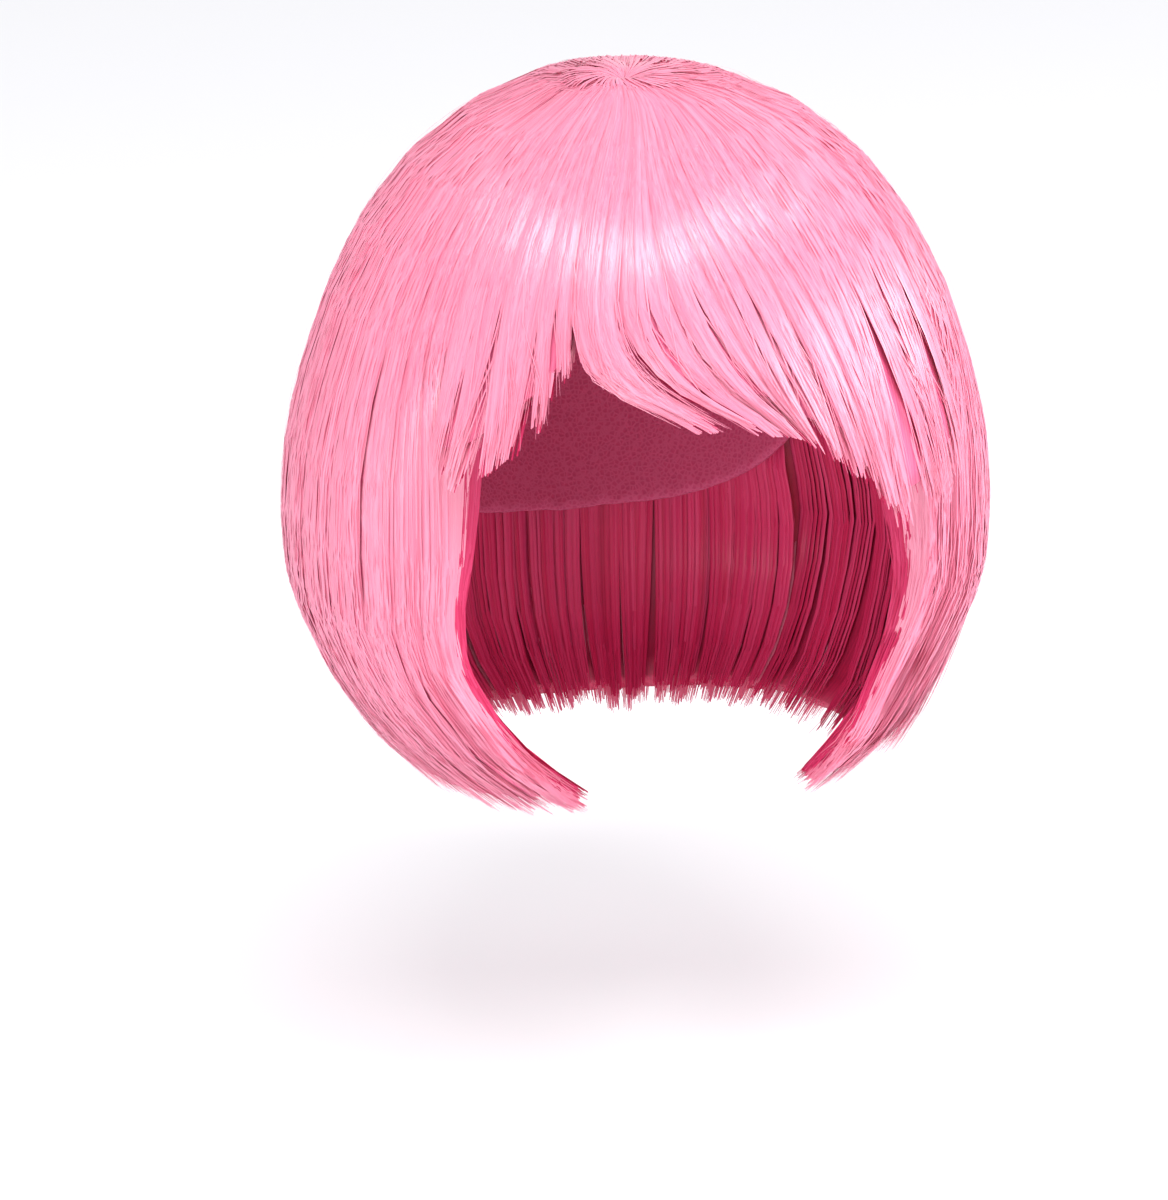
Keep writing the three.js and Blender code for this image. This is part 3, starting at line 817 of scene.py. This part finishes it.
def front_strands(section, count, seed, front, backwards, shallow, deep):
    """The strands on a curtain's front edge, between two depths as shares of its thickness."""
    rng = np.random.default_rng(seed)
    start = rng.uniform(0.22, 0.5, (count, 1))
    along = start + (1 - start) * np.linspace(0, 1, FRONT_POINTS)
    stray = rng.normal(0, 0.006, (count, 1)) * smoothstep(along, 0.55, 1.0)
    share = front + (rng.uniform(-0.004, 0.012, (count, 1)) + np.abs(stray)) * backwards
    short = np.abs(rng.normal(0, 0.005, (count, 1)))
    under = section.wall(share, along) * rng.uniform(shallow, deep, (count, 1))
    points, normals = section.lay(share, along, short, under)
    aside = np.array([backwards, 0.0, 0.0])
    facing = normals * 0.4 - aside * 0.3 + np.array([0.0, -0.8, 0.0])
    return (points, facing), drawn_out(RIBBON_HALF_WIDTH * 0.8, 0.85, count, FRONT_POINTS, rng)


def flicked_strands(section, count, seed):
    """The ends of an upper layer that the comb has flicked outwards, above the hem."""
    rng = np.random.default_rng(seed)
    own = rng.uniform(0.18, 0.7, (count, 1))
    along = np.linspace(FLICK_START, 1, FLICKED_POINTS) * np.ones((count, 1))
    share = own + rng.normal(0, 0.01, (count, 1)) * smoothstep(along, 0.85, 1.0)
    short = FLICK_SHORT + rng.exponential(0.003, (count, 1))
    reach = FLICK_REACH * np.exp(-(((own - FLICK_MIDDLE) / FLICK_SPREAD) ** 2))
    reach = reach * rng.uniform(0.3, 1.1, (count, 1))
    under = 0.0012 - (0.0012 + reach) * smoothstep(along, 0.84, 1.08)
    half_widths = drawn_out(RIBBON_HALF_WIDTH * 0.8, 0.85, count, FLICKED_POINTS, rng)
    return section.lay(share, along, short, under), half_widths


for name, lines, front, backwards, seed in (
    ("side_curtain_left", SIDE_LINES, 0, 1, 21),
    ("side_curtain_right", mirrored(SIDE_LINES), 1, -1, 31),
):
    section = Section(lines, CURTAIN_LEVELS, SIDE_LOCKS)
    hair(
        name,
        section,
        ribbons=470,
        fine=200,
        stray=0.3,
        lining=310,
        hem=320,
        seed=seed,
        mass_short=0.006,
        lining_start=0.42,
        points=13,
        ragged=0.003,
        gather=0.15,
        sway=0.2,
    )
    for depth_name, count, shallow, deep, material in (
        ("outer", 270, 0.0, 0.6, fibre),
        ("inner", 160, 0.45, 1.0, shaded_inner_fibre),
    ):
        laid = front_strands(section, count, seed + 5, front, backwards, shallow, deep)
        edge = strands(name + "_front_" + depth_name, *laid, material)
        stand_for(edge, name)
    if name == "side_curtain_left":
        laid = flicked_strands(section, FLICKED_STRANDS, seed + 6)
        flick = strands(name + "_flick", *laid, fibre)
        stand_for(flick, name)


# Fringe. Shorter fibre over the brow in three sections, cut by hand into uneven wisps. The middle
# one is a single lock that sweeps across the forehead.
FRINGE_LEVELS = [0.42, 0.65, 0.82, 0.93]
FRINGE_RIGHT_LINES = [
    {"azimuths": [-54, -54, -54, -54, -54], "drop": 0.48, "tuck": 0},
    {"azimuths": [-47, -47, -47, -48, -49], "drop": 0.475, "tuck": 0},
    {"azimuths": [-40, -40.5, -40.5, -40.5, -41], "drop": 0.43, "tuck": 0},
    {"azimuths": [-34, -34.5, -34.5, -34, -34], "drop": 0.385, "tuck": 0},
    {"azimuths": [-31, -30.7, -30.3, -29.7, -29], "drop": 0.335, "tuck": 0},
]
FRINGE_CENTRE_LINES = [
    {"azimuths": [-31, -30.7, -28.8, -23.5, -12], "drop": 0.38, "tuck": 0},
    {"azimuths": [-19, -21, -20.3, -14.5, -4], "drop": 0.378, "tuck": 0},
]
FRINGE_LEFT_LINES = [
    {"azimuths": [-19, -20.5, -18.6, -10.6, 0], "drop": 0.385, "tuck": 0},
    {"azimuths": [-12, -7, -1, 5, 11], "drop": 0.4, "tuck": 0},
    {"azimuths": [-2, 6, 11, 14.5, 17], "drop": 0.44, "tuck": 0},
    {"azimuths": [8, 17, 22, 24.5, 26], "drop": 0.475, "tuck": 0},
    {"azimuths": [26, 30, 33, 35, 37], "drop": 0.56, "tuck": 0},
    {"azimuths": [54, 54, 54, 54, 54], "drop": 0.5, "tuck": 0},
]

for name, lines, locks, ribbons, fine, hem, gather, seed in (
    ("fringe_right", FRINGE_RIGHT_LINES, 3, 180, 170, 90, 0.4, 41),
    ("fringe_centre_lock", FRINGE_CENTRE_LINES, 1, 95, 100, 50, 0.1, 51),
    ("fringe_left", FRINGE_LEFT_LINES, 8, 470, 290, 220, 0.35, 61),
):
    hair(
        name,
        Section(lines, FRINGE_LEVELS, locks),
        ribbons=ribbons,
        fine=fine,
        stray=0.6,
        lining=hem,
        hem=hem,
        seed=seed,
        mass_short=0.012,
        lining_start=0.55,
        points=12,
        ragged=0.0065,
        gather=gather,
        sway=0.3,
    )


# Whorl tuft. The pinch of fibre in the middle of the crown, where all the hair starts. Its strands
# fan out over the roots of the sections.
tuft = smooth_piece("whorl_tuft_mass", merged_copy("whorl_tuft"), mass)
stand_for(tuft, "whorl_tuft")

TUFT_STRANDS = 300
TUFT_POINTS = 9
TUFT_TURN = 22.0  # degrees that a strand winds round the whorl
TUFT_START = 0.0015  # from the middle of the whorl
TUFT_REACHES = (0.01, 0.034)
TUFT_RISE = 0.0012
TUFT_ENDS_UNDER = 0.0022
rng = np.random.default_rng(71)
along = np.linspace(0, 1, TUFT_POINTS) * np.ones((TUFT_STRANDS, 1))
reach = rng.uniform(*TUFT_REACHES, (TUFT_STRANDS, 1))
azimuth = rng.uniform(0, 360, (TUFT_STRANDS, 1)) - TUFT_TURN * (1 - along) ** 2
distance = TUFT_START + (reach - TUFT_START) * along
lift = TUFT_RISE * (1 - along) * rng.uniform(0.2, 1.0, (TUFT_STRANDS, 1))
normals = outward(azimuth, distance, 0 * along)
lift = lift - TUFT_ENDS_UNDER * smoothstep(along, 0.6, 1.0)
places = surface(azimuth, distance, 0 * along) + normals * lift[..., None]
half_widths = drawn_out(STRAND_HALF_WIDTH * 1.5, 0.5, TUFT_STRANDS, TUFT_POINTS, rng)
fan = strands("whorl_tuft_strands", (places, normals), half_widths, fibre)
stand_for(fan, "whorl_tuft")


# Flyaways. Single fibres that have come loose from the combing and stand a little off the hair.
FLYAWAYS = 80
FLYAWAY_POINTS = 12
FLYAWAY_HALF_WIDTH = 0.00012  # drawn some three times as thick as the real one, so that it shows
rng = np.random.default_rng(81)
start = rng.uniform(0.05, 0.8, (FLYAWAYS, 1))
end = np.minimum(start + rng.uniform(0.15, 0.4, (FLYAWAYS, 1)), 1.0)
along = np.linspace(0, 1, FLYAWAY_POINTS) * np.ones((FLYAWAYS, 1))
distance = hair_end * (start + (end - start) * along)
azimuth = rng.uniform(60, 300, (FLYAWAYS, 1)) + rng.normal(0, 6, (FLYAWAYS, 1)) * along**2
lift = rng.uniform(0.0005, 0.003, (FLYAWAYS, 1)) * np.sin(np.pi * 0.75 * along)
places = surface(azimuth, distance, lift), outward(azimuth, distance, lift)
loose = strands("flyaways", places, np.full(along.shape, FLYAWAY_HALF_WIDTH), fibre)
stand_for(loose, "back_curtain")

bpy.data.objects.remove(strand_section)


# Floor and studio. A plain pale floor below the wig, a wide soft light over it and smaller ones
# on both sides, the left one low.
FLOOR_DEPTH = 0.33  # below the crown of the head
FLOOR_HALF_SIZE = 20.0
FLOOR_HEX = "#F2F2F4"
STUDIO_HEX = "#FAFAFC"
STUDIO_STRENGTH = 0.9


def matt_floor_paint():
    material = bpy.data.materials.new("matt_floor_paint")
    material.use_nodes = True
    shader = material.node_tree.nodes["Principled BSDF"]
    shader.inputs["Base Color"].default_value = linear(FLOOR_HEX)
    shader.inputs["Roughness"].default_value = 0.8
    return material


floor_work = bmesh.new()
bmesh.ops.create_grid(floor_work, x_segments=1, y_segments=1, size=FLOOR_HALF_SIZE)
for vertex in floor_work.verts:
    vertex.co.z = -FLOOR_DEPTH
smooth_piece("floor", floor_work, matt_floor_paint())


def soft_light(name, azimuth, elevation, distance, width, height, watts):
    """A soft box that faces the middle of the wig."""
    lamp = bpy.data.lights.new(name, "AREA")
    lamp.shape = "RECTANGLE"
    lamp.size = width
    lamp.size_y = height
    lamp.energy = watts
    light = bpy.data.objects.new(name, lamp)
    bpy.context.scene.collection.objects.link(light)
    turn, rise = math.radians(azimuth), math.radians(elevation)
    light.location = (
        distance * math.sin(turn) * math.cos(rise),
        -distance * math.cos(turn) * math.cos(rise),
        distance * math.sin(rise) - HAIR_LENGTH / 2,
    )
    light.rotation_euler = (math.radians(90) - rise, 0, turn)


soft_light("overhead_light", -10, 58, 3.2, 2.2, 0.8, 56)
soft_light("left_light", -42, 0, 3.0, 1.6, 0.4, 18)
soft_light("right_light", 64, 16, 2.6, 1.0, 0.9, 36)

world = bpy.data.worlds.new("studio")
bpy.context.scene.world = world
world.use_nodes = True
background = world.node_tree.nodes["Background"]
background.inputs["Color"].default_value = linear(STUDIO_HEX)
background.inputs["Strength"].default_value = STUDIO_STRENGTH
bpy.context.scene.view_settings.view_transform = "Standard"
